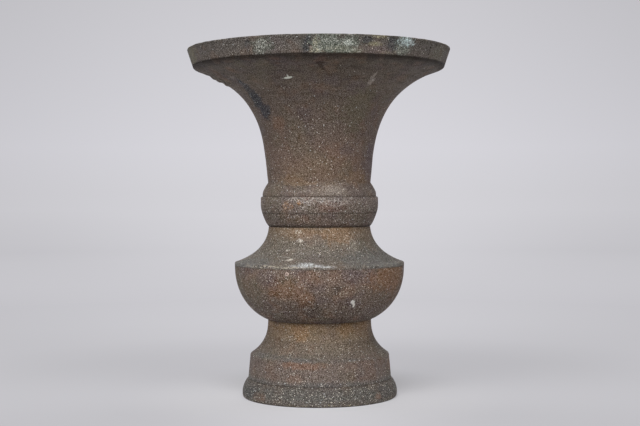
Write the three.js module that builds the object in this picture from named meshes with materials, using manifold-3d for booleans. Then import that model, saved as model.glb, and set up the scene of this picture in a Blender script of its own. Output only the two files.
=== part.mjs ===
// A cast bronze beaker vase: a wide trumpet mouth with an upright lip band, a neck with a two-stage knop,
// a concave shoulder, a bowl-shaped belly and a hollow foot on a rounded ring.
// Millimetres, +Z up, standing on z = 0 with its axis on the Z axis. The front of the vase faces -Y.
import * as THREE from "three";
import { mergeVertices } from "three/addons/utils/BufferGeometryUtils.js";
import Module from "manifold-3d";

const wasm = await Module();
wasm.setup();

// Heights of the sections, from the ground up
const baseRingHeight = 9.6;
const footWallHeight = 12.6;
const footHollowHeight = 17.8;
const bellyHeight = 28;
const shoulderHeight = 20.2;
const collarHeight = 15.6;
const knopHeight = 7.2;
const mouthHeight = 60;
const lipHeight = 9;

// Outer radii, from the ground up
const footprintRadius = 39.7;
const baseBulgeRadius = 40.4;
const footBottomRadius = 37.3;
const footWallTopRadius = 36.3;
const footEdgeRadius = 35.9;
const waistRadius = 26.95;
const bellyRadius = 44.2;
const shoulderTopRadius = 26.5;
const collarRadius = 30.7;
const knopRadius = 29.7;
const neckRadius = 26.75;
const mouthEdgeRadius = 65.4;
const lipTopRadius = 68.2;

// Small features of the outline
const baseBulgeHeight = 2.5;
const footEdgeBevel = 1.2;
const arrisSkirt = 1;
const arrisRounding = 1;
const collarFullness = 10.5;
const collarEdgeRounding = 1;
const knopBandHeight = 1.5;
const mouthUndercut = 1.4;
const mouthUndercutWidth = 1.5;
const lipEdgeRounding = 0.6;

// How the outline's curves start and end: a heading in degrees, turned up from straight outwards, and the
// share of the chord over which the curve holds it
const bulgeStart = { heading: 90, hold: 0.32 };
const bulgeEnd = { heading: 140, hold: 0.25 };
const footHollowStart = { heading: 146, hold: 0.48 };
const footHollowEnd = { heading: 90, hold: 0.31 };
const bowlStart = { heading: 20, hold: 0.2 };
const bowlEnd = { heading: 90, hold: 0.53 };
const shoulderStart = { heading: 160, hold: 0.46 };
const shoulderEnd = { heading: 95, hold: 0.33 };
const collarStart = { heading: 46, hold: 0.24 };
const collarEnd = { heading: 90, hold: 0.2 };
const knopStart = { heading: 90, hold: 0.2 };
const knopEnd = { heading: 128, hold: 0.2 };
const mouthStart = { heading: 83, hold: 0.23 };
const mouthEnd = { heading: 17, hold: 0.56 };

// Walls and joints
const castWall = 3;
const lipWall = 3.2;
const clearance = 0.3;
const neckBoreRadius = 21;
const spigotWall = 2;
const spigotDepth = 5;
const bellySocketWall = 2.7;
const shoulderSpigotWall = 2.4;
const shoulderSpigotDepth = 6;
const ledgeThickness = 3;
const brazeHeight = 1;
const brazeWidth = 1;
const baseUpstandHeight = 4;
const baseUpstandWall = 2;
const floorThickness = 2.5;
const floorSeatWidth = 2.3;
const floorLedgeWidth = 2.8;
const floorSocketWall = 2.2;

// Pins through the belly's rim into the shoulder's spigot
const pinRadius = 0.95;
const pinCount = 3;
const pinDrop = 2;
const firstPinAngle = -21;

// The opened butt seam in the lip band, to the right of the front
const seamAngle = 55;
const seamWidth = 0.4;
const seamHeight = 6.5;

// Fineness: sides of every turned piece and of a pin, and steps along the outline's curves
const sides = 48;
const pinSides = 16;
const mouthSteps = 13;
const bodySteps = 9;
const smallCurveSteps = 5;
const cornerSteps = 3;

// Levels of the joints and of the outline's corners
const baseTop = baseRingHeight;
const footEdge = baseTop + footWallHeight;
const waist = footEdge + footHollowHeight;
const bellyTop = waist + bellyHeight;
const shoulderTop = bellyTop + shoulderHeight;
const collarTop = shoulderTop + collarHeight;
const neck = collarTop + knopHeight;
const mouthEdge = neck + mouthHeight;
const rim = mouthEdge + lipHeight;

// Radii that the joints share
const spigotRadius = neckBoreRadius + spigotWall;
const socketRadius = spigotRadius + clearance;
const bellySocketRadius = bellyRadius - bellySocketWall;
const shoulderSpigotRadius = bellySocketRadius - clearance;
const shoulderSpigotBore = shoulderSpigotRadius - shoulderSpigotWall;
const shoulderLedge = bellyTop - shoulderSpigotDepth;
const floorSocketRadius = waistRadius - floorSocketWall;
const floorRadius = floorSocketRadius - clearance;
const floorLedgeRadius = floorRadius - floorLedgeWidth;
const floorBottom = waist - floorThickness;
const floorLedge = floorBottom - brazeHeight;
const footBore = footBottomRadius - castWall;
const lipBottomBore = mouthEdgeRadius - lipWall;

const at = (radius, height) => new THREE.Vector2(radius, height);

// A point some way from another, along a heading in degrees turned up from straight outwards.
function stepped(from, heading, length) {
  const angle = THREE.MathUtils.degToRad(heading);
  return at(from.x + length * Math.cos(angle), from.y + length * Math.sin(angle));
}

// A curve from one point to another, which starts and ends as given above.
function bend(from, start, to, end, steps) {
  const chord = from.distanceTo(to);
  const leaving = stepped(from, start.heading, start.hold * chord);
  const arriving = stepped(to, end.heading, -end.hold * chord);
  return new THREE.CubicBezierCurve(from, leaving, arriving, to).getPoints(steps);
}

// A corner rounded off between two points of its sides.
function rounded(from, corner, to) {
  return new THREE.QuadraticBezierCurve(from, corner, to).getPoints(cornerSteps);
}

// A curve moved by a wall's thickness towards its left, which is the inside of an outline that climbs.
function inset(points, wall) {
  return points.map((point, i) => {
    const before = points[Math.max(i - 1, 0)];
    const after = points[Math.min(i + 1, points.length - 1)];
    const along = after.clone().sub(before).normalize();
    return at(point.x - wall * along.y, point.y + wall * along.x);
  });
}

// A solid turned about the Z axis. Its outline climbs on the outside and comes down on the inside.
function turned(...outline) {
  const loop = outline.flat();
  return new THREE.LatheGeometry([...loop, loop[0]], sides).rotateX(Math.PI / 2);
}

// A ring of rectangular section.
function ring(inner, outer, bottom, height) {
  const top = bottom + height;
  return turned([at(outer, bottom), at(outer, top), at(inner, top), at(inner, bottom)]);
}

function toSolid(geometry) {
  const bare = geometry.clone();
  bare.deleteAttribute("normal");
  bare.deleteAttribute("uv");
  const merged = mergeVertices(bare, 1e-3);
  return new wasm.Manifold(
    new wasm.Mesh({
      numProp: 3,
      vertProperties: merged.attributes.position.array,
      triVerts: new Uint32Array(merged.index.array),
    }),
  );
}

function toGeometry(solid) {
  const mesh = solid.getMesh();
  const geometry = new THREE.BufferGeometry();
  geometry.setAttribute("position", new THREE.BufferAttribute(mesh.vertProperties, 3));
  geometry.setIndex(new THREE.BufferAttribute(mesh.triVerts, 1));
  geometry.computeVertexNormals();
  return geometry;
}

// A geometry with others cut out of it.
function cut(geometry, tools) {
  return toGeometry(tools.reduce((solid, tool) => solid.subtract(toSolid(tool)), toSolid(geometry)));
}

// Turns a geometry made on the front of the vase round to an angle, positive to the right of the front.
const turnedTo = (geometry, angle) => geometry.rotateZ(THREE.MathUtils.degToRad(angle));

const vase = new THREE.Group();

function add(name, geometry, finish) {
  const mesh = new THREE.Mesh(geometry, new THREE.MeshStandardMaterial(finish));
  mesh.name = name;
  vase.add(mesh);
}

const brownBronze = { color: "#5f5349", roughness: 0.6, metalness: 0.55 };
const warmBronze = { color: "#6d5c4b", roughness: 0.58, metalness: 0.55 };
const greyBronze = { color: "#6a625b", roughness: 0.55, metalness: 0.55 };
const patinatedBronze = { color: "#5d5a50", roughness: 0.7, metalness: 0.4 };
const brazingBrass = { color: "#8a7648", roughness: 0.5, metalness: 0.8 };

// Outlines that a wall's two faces are made from

function bowlOutline() {
  return bend(at(waistRadius, waist), bowlStart, at(bellyRadius, bellyTop), bowlEnd, bodySteps);
}

function shoulderOutline() {
  const cone = at(bellyRadius - arrisRounding, bellyTop + arrisSkirt + arrisRounding);
  return bend(cone, shoulderStart, at(shoulderTopRadius, shoulderTop), shoulderEnd, bodySteps);
}

function footHollowOutline() {
  const edge = at(footEdgeRadius, footEdge);
  return bend(edge, footHollowStart, at(waistRadius, waist), footHollowEnd, bodySteps);
}

function mouthOutline() {
  const edge = at(mouthEdgeRadius - mouthUndercutWidth, mouthEdge - mouthUndercut);
  return bend(at(neckRadius, neck), mouthStart, edge, mouthEnd, mouthSteps);
}

// The rounded ring that the vase stands on, with an upstand that centres the foot.
function baseRing() {
  const upstandRadius = footBore - clearance;
  const ringBore = upstandRadius - baseUpstandWall;
  const bulge = at(baseBulgeRadius, baseBulgeHeight);
  return turned(
    rounded(at(footprintRadius, 0), at(baseBulgeRadius, 0), bulge),
    bend(bulge, bulgeStart, at(footBottomRadius, baseTop), bulgeEnd, smallCurveSteps),
    [
      at(upstandRadius, baseTop),
      at(upstandRadius, baseTop + baseUpstandHeight),
      at(ringBore, baseTop + baseUpstandHeight),
      at(ringBore, 0),
    ],
  );
}

// The braze round the base ring's upstand, in a rebate under the foot.
function baseBraze() {
  return ring(footBore, footBore + brazeWidth, baseTop, brazeHeight);
}

// The hollow foot: a short upright wall under a concave flare, with a socket for the floor at its top.
function foot() {
  const hollow = footHollowOutline();
  const ledgeBottom = floorLedge - ledgeThickness;
  const inside = inset(hollow, castWall).filter((point) => point.y < ledgeBottom).reverse();
  const wallTop = at(footWallTopRadius, footEdge - footEdgeBevel);
  const rebate = footBore + brazeWidth + clearance;
  return turned(
    [at(footBottomRadius, baseTop)],
    rounded(wallTop, at(footWallTopRadius, footEdge - footEdgeBevel / 4), hollow[0]),
    hollow.slice(1),
    [
      at(floorSocketRadius, waist),
      at(floorSocketRadius, floorLedge),
      at(floorLedgeRadius, floorLedge),
      at(floorLedgeRadius, ledgeBottom + floorLedgeWidth / 2),
    ],
    inside,
    [
      at(footBore, baseTop + baseUpstandHeight + clearance),
      at(footBore, baseTop + brazeHeight),
      at(rebate, baseTop + brazeHeight),
      at(rebate, baseTop),
    ],
  );
}

// The disc that closes the water chamber, held between the foot's ledge and the belly.
function floorPlate() {
  return turned([at(0, floorBottom), at(floorRadius, floorBottom), at(floorRadius, waist), at(0, waist)]);
}

function floorBraze() {
  return ring(floorLedgeRadius, floorRadius, floorLedge, brazeHeight);
}

// The bowl of the belly, with a socket at its top for the shoulder's spigot.
function bellyBowl() {
  const bowl = bowlOutline();
  const bottomBore = floorRadius - floorSeatWidth;
  const ledgeBottom = shoulderLedge - ledgeThickness;
  const inside = inset(bowl, castWall).filter((point) => point.y < ledgeBottom).reverse();
  const body = turned(
    bowl,
    [
      at(bellySocketRadius, bellyTop),
      at(bellySocketRadius, shoulderLedge),
      at(shoulderSpigotBore, shoulderLedge),
      at(shoulderSpigotBore, ledgeBottom + shoulderSpigotWall / 2),
    ],
    inside,
    [at(bottomBore, waist + floorThickness / 2), at(bottomBore, waist)],
  );
  return cut(body, pinAngles().map(pinHole));
}

function shoulderBraze() {
  return ring(shoulderSpigotBore, shoulderSpigotRadius, shoulderLedge, brazeHeight);
}

// The arris and the concave shoulder over it, with a spigot below and a socket at its top.
function shoulder() {
  const cone = shoulderOutline();
  const arris = at(bellyRadius, bellyTop + arrisSkirt);
  const ledge = shoulderTop - spigotDepth;
  const ledgeBottom = ledge - ledgeThickness;
  const inside = inset(cone, castWall)
    .filter((point) => point.x < shoulderSpigotBore && point.y < ledgeBottom)
    .reverse();
  const spigotBottom = shoulderLedge + brazeHeight;
  const body = turned(
    [at(shoulderSpigotRadius, spigotBottom), at(shoulderSpigotRadius, bellyTop), at(bellyRadius, bellyTop)],
    rounded(arris, at(bellyRadius, arris.y + arrisRounding), cone[0]),
    cone.slice(1),
    [
      at(socketRadius, shoulderTop),
      at(socketRadius, ledge),
      at(neckBoreRadius, ledge),
      at(neckBoreRadius, ledgeBottom + spigotWall / 2),
    ],
    inside,
    [at(shoulderSpigotBore, bellyTop), at(shoulderSpigotBore, spigotBottom)],
  );
  return cut(body, pinAngles().map(pinHole));
}

function pinAngles() {
  return Array.from({ length: pinCount }, (_, i) => firstPinAngle + (i * 360) / pinCount);
}

// A round bar that lies along a radius at the front, between two distances from the axis.
function radialBar(radius, inner, outer) {
  return new THREE.CylinderGeometry(radius, radius, outer - inner, pinSides).translate(
    0,
    -(inner + outer) / 2,
    bellyTop - pinDrop,
  );
}

function pinHole(angle) {
  const drill = radialBar(pinRadius + clearance, shoulderSpigotBore - castWall, bellyRadius + castWall);
  return turnedTo(drill, angle);
}

function shoulderPin(angle) {
  return turnedTo(radialBar(pinRadius, shoulderSpigotBore, bellyRadius), angle);
}

function collarBraze() {
  return ring(neckBoreRadius, spigotRadius, shoulderTop - spigotDepth, brazeHeight);
}

// The lower, fuller stage of the knop: a spigot below, and a socket for the neck above.
function knopCollar() {
  const ledge = collarTop - spigotDepth;
  const spigotBottom = shoulderTop - spigotDepth + brazeHeight;
  const fullest = at(collarRadius, shoulderTop + collarFullness);
  return turned(
    [at(spigotRadius, spigotBottom), at(spigotRadius, shoulderTop)],
    bend(at(shoulderTopRadius, shoulderTop), collarStart, fullest, collarEnd, smallCurveSteps),
    rounded(
      at(collarRadius, collarTop - collarEdgeRounding),
      at(collarRadius, collarTop),
      at(collarRadius - collarEdgeRounding, collarTop),
    ),
    [
      at(socketRadius, collarTop),
      at(socketRadius, ledge),
      at(neckBoreRadius, ledge),
      at(neckBoreRadius, spigotBottom),
    ],
  );
}

function neckBraze() {
  return ring(neckBoreRadius, spigotRadius, collarTop - spigotDepth, brazeHeight);
}

// The neck and the trumpet mouth, with the upper stage of the knop at the bottom.
function mouthTrumpet() {
  const flare = mouthOutline();
  const spigotBottom = collarTop - spigotDepth + brazeHeight;
  const corner = at(mouthEdgeRadius, mouthEdge - mouthUndercut / 2);
  const inside = inset(flare, castWall)
    .filter((point) => point.x < lipBottomBore && point.y < mouthEdge)
    .reverse();
  return turned(
    [at(spigotRadius, spigotBottom), at(spigotRadius, collarTop), at(knopRadius, collarTop)],
    bend(at(knopRadius, collarTop + knopBandHeight), knopStart, flare[0], knopEnd, smallCurveSteps),
    flare.slice(1),
    rounded(flare.at(-1), corner, at(mouthEdgeRadius, mouthEdge)).slice(1),
    [at(lipBottomBore, mouthEdge)],
    inside,
    [at(neckBoreRadius, collarTop), at(neckBoreRadius, spigotBottom)],
  );
}

function lipBraze() {
  return ring(lipBottomBore, lipBottomBore + brazeWidth, mouthEdge, brazeHeight);
}

// The upright band round the mouth, a strip bent to a hoop, with its butt seam opened from below.
function lipBand() {
  const lean = lipTopRadius - mouthEdgeRadius;
  const rebate = lipBottomBore + brazeWidth + clearance;
  const innerTop = lipTopRadius - lipWall;
  const sideTop = rim - lipEdgeRounding;
  const band = turned(
    [at(rebate, mouthEdge), at(mouthEdgeRadius, mouthEdge)],
    rounded(at(lipTopRadius, sideTop), at(lipTopRadius, rim), at(lipTopRadius - lipEdgeRounding, rim)),
    rounded(at(innerTop + lipEdgeRounding, rim), at(innerTop, rim), at(innerTop, sideTop)),
    [
      at(lipBottomBore + (lean * brazeHeight) / lipHeight, mouthEdge + brazeHeight),
      at(rebate, mouthEdge + brazeHeight),
    ],
  );
  const reach = mouthEdgeRadius + lipTopRadius;
  const slit = new THREE.BoxGeometry(seamWidth, reach, 2 * seamHeight).translate(0, -reach / 2, mouthEdge);
  return cut(band, [turnedTo(slit, seamAngle)]);
}

add("base_ring", baseRing(), greyBronze);
add("base_braze", baseBraze(), brazingBrass);
add("foot", foot(), warmBronze);
add("floor_braze", floorBraze(), brazingBrass);
add("floor_plate", floorPlate(), brownBronze);
add("belly_bowl", bellyBowl(), brownBronze);
add("shoulder_braze", shoulderBraze(), brazingBrass);
add("shoulder", shoulder(), greyBronze);
pinAngles().forEach((angle, i) => add(`shoulder_pin_${i + 1}`, shoulderPin(angle), warmBronze));
add("collar_braze", collarBraze(), brazingBrass);
add("knop_collar", knopCollar(), brownBronze);
add("neck_braze", neckBraze(), brazingBrass);
add("mouth_trumpet", mouthTrumpet(), brownBronze);
add("lip_braze", lipBraze(), brazingBrass);
add("lip_band", lipBand(), patinatedBronze);

export default vase;
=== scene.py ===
import math

import bpy
import numpy as np
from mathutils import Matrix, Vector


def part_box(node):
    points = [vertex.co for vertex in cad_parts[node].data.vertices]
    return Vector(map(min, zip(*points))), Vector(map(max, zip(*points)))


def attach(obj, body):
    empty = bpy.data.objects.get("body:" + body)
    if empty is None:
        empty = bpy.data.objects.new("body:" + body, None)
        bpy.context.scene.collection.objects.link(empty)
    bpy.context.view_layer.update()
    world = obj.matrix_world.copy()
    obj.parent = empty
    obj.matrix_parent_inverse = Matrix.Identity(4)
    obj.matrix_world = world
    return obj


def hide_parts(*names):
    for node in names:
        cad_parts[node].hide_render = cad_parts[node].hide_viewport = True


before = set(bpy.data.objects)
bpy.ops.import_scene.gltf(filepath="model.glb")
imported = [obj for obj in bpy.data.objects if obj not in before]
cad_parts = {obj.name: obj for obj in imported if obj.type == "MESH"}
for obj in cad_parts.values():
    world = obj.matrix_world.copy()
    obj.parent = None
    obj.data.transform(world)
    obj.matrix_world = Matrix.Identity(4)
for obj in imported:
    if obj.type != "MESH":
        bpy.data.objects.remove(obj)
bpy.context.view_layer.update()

# The looks of a cast copper-alloy vase. Sizes are in millimetres, angles in degrees. An angle
# round the vase counts from its front, which faces the camera, to the right. MM turns a size into
# metres.
MM = 0.001

# Heights of the joints, and radii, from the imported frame
BASE_TOP = 9.6
WAIST = 40.0
ARRIS = 69.0
SHOULDER_TOP = 88.2
COLLAR_TOP = 103.8
NECK = 111.0
MOUTH_EDGE = 171.0
RIM = 180.0
BOWL_RIM_RADIUS = 44.2
MOUTH_EDGE_RADIUS = 65.4
LIP_RADIUS = 67
LIP_SLOPE = 0.33
LIP_HALF_WALL = 1.6

# Fineness of the turned pieces: sides round the axis, rows along the section outside and inside.
# A stretch of the section that runs down more steeply than INSIDE_SLOPE is an inside.
SIDES = 432
OUTER_ROW = 0.75
INNER_ROW = 2.1
INSIDE_SLOPE = -0.35

# A bend of the section sharper than EDGE_BEND is an edge, and so is one sharper than KINK_BEND
# between two stretches longer than KINK_LENGTH. Edges are worn round, over no more than MOST_WORN
# of a stretch. Where one stretch is LONGER times its neighbour, it alone sets the direction.
EDGE_BEND = 40
KINK_BEND = 20
KINK_LENGTH = 1.5
LONGER = 3
MOST_WORN = 0.4
WORN_EDGE = 0.25
WORN_LIP = 0.5
WORN_COLLAR = 1.3
WORN_RING = 1.0

# What casting left: out of round, lumps, a rim that leans up to the right, nicks and a burr
OVAL = 0.10
OVAL_TURN = 0.9
THREE_SIDED = 0.06
TWIST = 45
LUMP_SIZES = (16, 7)
LUMP_HEIGHTS = (0.12, 0.05)
RIM_LEAN = 0.12
LEAN_FROM = 150
LEAN_RADIUS = 68
RIM_NICKS = 0.10
NICK_SIZE = 3.0
NICK_DEPTH = 1.0
NICK_SEED = 9
BURR_HEIGHT = 1.2
BURR_ANGLE = -93
BURR_LEVEL = 165
BURR_WIDTH = 0.35
BURR_SPREAD = 3.0
BURR_LUMP = 2.1
BURR_SEED = 7

# The opened seam in the lip band. SEAM_STEPS are seam widths, SEAM_WAVES (height, times, shift).
SEAM_ANGLE = 55
SEAM_TOP = 178.2
SEAM_FADE = 1.5
SEAM_DEPTH = 1.1
SEAM_HALF_WIDTH = 0.4
SEAM_STEPS = np.array([-3, -1.6, -0.8, -0.4, -0.15, 0.15, 0.4, 0.8, 1.6, 3])
SEAM_REACH = 4
SEAM_WANDER = 0.35
SEAM_WAVES = ((1, 1.7, 0), (0.6, 3.9, 1))
WANDER_REACH = 1.5

# The floor plate: the radius of its first row, the distance between rows, and its worn corner
PLATE_CENTRE = 0.4
PLATE_STEP = 1.5
PLATE_CORNER = 0.3

# The pins: a head as rows of (share of its radius, height over the bowl)
PIN_ANGLES = (-21, 99, -141)
PIN_RADIUS = 0.95
PIN_SIDES = 24
PIN_ROWS = (
    (0.2, 0.12),
    (0.5, 0.10),
    (0.8, 0.04),
    (0.95, -0.06),
    (1.0, -0.3),
    (1.0, -2.2),
    (0.2, -2.2),
)

# The camera, from a fit of the vase's outline in a picture of this width, and its sensor
PICTURE_WIDTH = 640
FOCAL_PIXELS = 1225.36
SENSOR = 36
CAMERA_BACK = 640
CAMERA_ASIDE = 0.40
CAMERA_HEIGHT = 106.4
CAMERA_PITCH = 1.01
CAMERA_ROLL = 0.17

# Light: a broad soft lamp high in front, a weak one to its left, a weak one behind, and pale
# surroundings. A lamp is angle, elevation, distance and width in metres, and watts. All of them
# aim at LAMP_AIM metres over the floor.
LAMPS = {
    "left_lamp": (-40, 55, 1.3, 0.6, 1.6),
    "front_lamp": (-5.5, 46, 1.4, 1.1, 17.2),
    "back_lamp": (180, 18, 1.5, 1.2, 2.5),
}
LAMP_AIM = 0.09
AMBIENT = 0.13


def tone(red, green, blue):
    """A colour given as 0 to 255 on a screen, as the shader's linear colour."""
    linear = []
    for part in (red, green, blue):
        s = part / 255
        linear.append(s / 12.92 if s <= 0.04045 else ((s + 0.055) / 1.055) ** 2.4)
    return (*linear, 1.0)


# The backdrop's colour by how far up one looks, from 0 level to 1 straight up. It fades a little
# between FADES directions, down to FADED.
BACKDROP = (
    (0.0, tone(213, 212, 217)),
    (0.035, tone(216, 215, 221)),
    (0.15, tone(205, 204, 209)),
    (0.4, tone(196, 196, 200)),
)
FADES = 8
FADED = 0.83

# The floor, with distances from the vase in metres. What backdrop rays see of it is part floor and
# part a glow of the colours in FLOOR_GLOW. The glow's share goes from GLOW_AT_FOOT, a pair of
# (distance, share), to GLOW_ROUND_FOOT, and grows to all of it over GLOW_GROWS. The glow fades by
# NEAR_FADES, pairs of (count, least), which give way to the backdrop's fades over FADES_GIVE_WAY.
FLOOR_RADIUS = 6.0
FLOOR_SIDES = 96
FLOOR_TONE = tone(232, 231, 234)
GLOW_AT_FOOT = (0.045, 0.4)
GLOW_ROUND_FOOT = (0.11, 0.82)
GLOW_GROWS = (0.12, 0.60)
NEAR_FADES = ((4, 0.9), (2, 0.92))
FADES_GIVE_WAY = (0.6, 1.6)
# The glow dips from 0.10 to 0.18 m: a painted shadow band round the vase.
FLOOR_GLOW = (
    (0.05, tone(207, 206, 211)),
    (0.10, tone(203, 202, 207)),
    (0.18, tone(202, 201, 206)),
    (0.27, tone(208, 207, 212)),
    (0.37, tone(208, 207, 212)),
    (0.56, tone(204, 203, 208)),
    (0.80, tone(207, 206, 211)),
    (1.25, tone(210, 209, 214)),
    (2.00, tone(212, 211, 216)),
    (5.00, tone(214, 213, 218)),
)

# Shapes of the pieces


def section_of(node):
    """The node's section at the front of the vase, as a loop of (radius, height)."""
    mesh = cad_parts[node].data
    found = np.empty(len(mesh.vertices) * 3, np.float32)
    mesh.vertices.foreach_get("co", found)
    per_mm, thin = 1000, 0.002
    whole = np.round(found.reshape(-1, 3) / MM * per_mm).astype(int)
    points, same = np.unique(whole, axis=0, return_inverse=True)
    same = same.ravel()
    points = points / per_mm
    front = (np.abs(points[:, 0]) < thin) & (points[:, 1] < 0)
    ends = np.empty(len(mesh.edges) * 2, np.int32)
    mesh.edges.foreach_get("vertices", ends)
    beside = {}
    for a, b in same[ends].reshape(-1, 2).tolist():
        if a != b and front[a] and front[b]:
            beside.setdefault(a, set()).add(b)
            beside.setdefault(b, set()).add(a)
    run = [min(beside)]
    run.append(min(beside[run[0]]))
    while True:
        onward = beside[run[-1]] - {run[-2]}
        if not onward or run[0] in onward:
            break
        run.append(onward.pop())
    loop = np.array([(-points[k][1], points[k][2]) for k in run])
    ahead = np.roll(loop, -1, axis=0)
    area = np.sum(loop[:, 0] * ahead[:, 1] - ahead[:, 0] * loop[:, 1])
    return loop if area > 0 else loop[::-1]


def bends_of(loop):
    """For each point of the loop: how far it bends there, and the lengths before and after it."""
    before = loop - np.roll(loop, 1, axis=0)
    after = np.roll(loop, -1, axis=0) - loop
    cross = before[:, 0] * after[:, 1] - before[:, 1] * after[:, 0]
    bend = np.abs(np.degrees(np.arctan2(cross, np.sum(before * after, axis=1))))
    return bend, np.hypot(*before.T), np.hypot(*after.T)


def directions_of(loop, back, on):
    """The directions through, before and after each point. back and on are the lengths there."""
    before = (loop - np.roll(loop, 1, axis=0)) / back[:, None]
    after = (np.roll(loop, -1, axis=0) - loop) / on[:, None]
    way = before * on[:, None] + after * back[:, None]
    way = np.where((back > LONGER * on)[:, None], before, way)
    way = np.where((on > LONGER * back)[:, None], after, way)
    return way / np.hypot(*way.T)[:, None], before, after


def smooth_section(loop, worn):
    """The loop with its edges worn round and its curves made fine, as rows of (radius, height)."""
    bend, back, on = bends_of(loop)
    way, before, after = directions_of(loop, back, on)
    kink = (bend > KINK_BEND) & (back > KINK_LENGTH) & (on > KINK_LENGTH)
    edge = (bend > EDGE_BEND) | kink
    cut_back = np.where(edge, np.minimum(worn, MOST_WORN * np.minimum(back, on)), 0)
    rows = []
    for i in range(len(loop)):
        j = (i + 1) % len(loop)
        if edge[i]:
            rows.extend(worn_edge(loop[i], before[i], after[i], cut_back[i]))
        start = loop[i] + after[i] * cut_back[i]
        end = loop[j] - after[i] * cut_back[j]
        leave = after[i] if edge[i] else way[i]
        arrive = after[i] if edge[j] else way[j]
        rows.extend(curve_rows(start, leave, end, arrive))
    return np.array(rows)


def worn_edge(corner, before, after, size):
    """Rows round an edge, short of its end."""
    start = corner - before * size
    end = corner + after * size
    shares = (0, 0.25, 0.5, 0.75)
    return [start * (1 - t) ** 2 + corner * 2 * t * (1 - t) + end * t**2 for t in shares]


def curve_rows(start, leave, end, arrive):
    """Rows from start to short of end, leaving and arriving in the given directions."""
    length = math.hypot(*(end - start))
    slope = (end - start)[1] / max(length, 1e-9)
    step = OUTER_ROW if slope > INSIDE_SLOPE else INNER_ROW
    count = max(1, math.ceil(length / step))
    rows = []
    for k in range(count):
        t = k / count
        rows.append(
            start * (2 * t**3 - 3 * t**2 + 1)
            + leave * length * (t**3 - 2 * t**2 + t)
            + end * (3 * t**2 - 2 * t**3)
            + arrive * length * (t**3 - t**2)
        )
    return rows


def soft_noise(points, size, seed):
    """Smooth noise from -1 to 1 over points in millimetres, with lumps of the given size."""
    cells, aside = 32, 1000
    lattice = np.random.default_rng(seed).uniform(-1, 1, (cells, cells, cells))
    place = points / size + aside
    cell = np.floor(place).astype(int)
    t = place - cell
    t = t * t * (3 - 2 * t)
    total = 0
    for corner in np.ndindex(2, 2, 2):
        share = np.prod(np.where(np.array(corner) == 1, t, 1 - t), axis=-1)
        at = (cell + corner) % cells
        total = total + share * lattice[at[..., 0], at[..., 1], at[..., 2]]
    return total


def rise(value, low, high):
    """Goes smoothly from 0 at low to 1 at high."""
    t = np.clip((value - low) / (high - low), 0, 1)
    return t * t * (3 - 2 * t)


def hill(value, middle, width):
    """Goes smoothly from 1 at the middle to 0 far from it."""
    return np.exp(-(((value - middle) / width) ** 2))


def moved_out(points, out):
    """The points moved away from the axis."""
    x, y, z = points[..., 0], points[..., 1], points[..., 2]
    radius = np.hypot(x, y)
    share = (radius + out) / np.maximum(radius, 1e-6)
    return np.stack([x * share, y * share, z], axis=-1)


def as_cast(points):
    """Moves the points of a turned piece as casting and wear moved the real surface. Two pieces
    that touch move together, because a point moves by its place alone."""
    x, y, z = points[..., 0], points[..., 1], points[..., 2]
    angle = np.arctan2(x, -y)
    out = OVAL * np.cos(2 * angle + OVAL_TURN) + THREE_SIDED * np.cos(3 * angle + z / TWIST)
    for seed, (size, height) in enumerate(zip(LUMP_SIZES, LUMP_HEIGHTS)):
        out = out + height * soft_noise(points, size, seed)
    near = hill(angle, math.radians(BURR_ANGLE), BURR_WIDTH) * hill(z, BURR_LEVEL, BURR_SPREAD)
    burr = BURR_HEIGHT * near * (soft_noise(points, BURR_LUMP, BURR_SEED) + 0.3)
    up = RIM_LEAN * (x / LEAN_RADIUS) * rise(z, LEAN_FROM, RIM) - burr
    nicks = soft_noise(points, NICK_SIZE, NICK_SEED) * rise(z, RIM - NICK_DEPTH, RIM)
    moved = moved_out(points, out + burr / 2)
    moved[..., 2] += up + RIM_NICKS * nicks
    return moved


def turned_points(rows, angles):
    """The points of the rows turned round the axis. angles may differ from row to row."""
    turn = np.radians(angles)
    radius = rows[:, 0][:, None]
    height = np.broadcast_to(rows[:, 1][:, None], (len(rows), angles.shape[-1]))
    return np.stack([radius * np.sin(turn), -radius * np.cos(turn), height], axis=-1)


def mesh_piece(name, points, closed=True):
    """An object from rows of points round the axis. A section that ends at the axis isn't closed,
    and gets a cap at both ends."""
    count, sides = points.shape[:2]
    here = np.arange(count if closed else count - 1)[:, None] * sides
    above = (here + sides) % (count * sides)
    across = np.arange(sides)[None, :]
    beyond = (across + 1) % sides
    faces = np.stack([here + across, here + beyond, above + beyond, above + across], axis=-1)
    faces = faces.reshape(-1, 4).tolist()
    if not closed:
        faces.append(list(range(sides))[::-1])
        faces.append([(count - 1) * sides + k for k in range(sides)])
    mesh = bpy.data.meshes.new(name)
    mesh.from_pydata((points.reshape(-1, 3) * MM).tolist(), [], faces)
    mesh.polygons.foreach_set("use_smooth", np.ones(len(faces), bool))
    mesh.update()
    return in_scene(name, mesh)


def in_scene(name, data):
    """A new object in the scene."""
    thing = bpy.data.objects.new(name, data)
    bpy.context.scene.collection.objects.link(thing)
    return thing


def even_angles():
    return np.arange(SIDES)[None, :] * 360 / SIDES


def place(piece, node, slot, material):
    """Puts the piece on the vase in place of its CAD node."""
    piece.data.materials.append(material)
    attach(piece, "root")
    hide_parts(node)


def turned_piece(name, node, worn=WORN_EDGE):
    rows = smooth_section(section_of(node), worn)
    return mesh_piece(name, as_cast(turned_points(rows, even_angles())))


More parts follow.
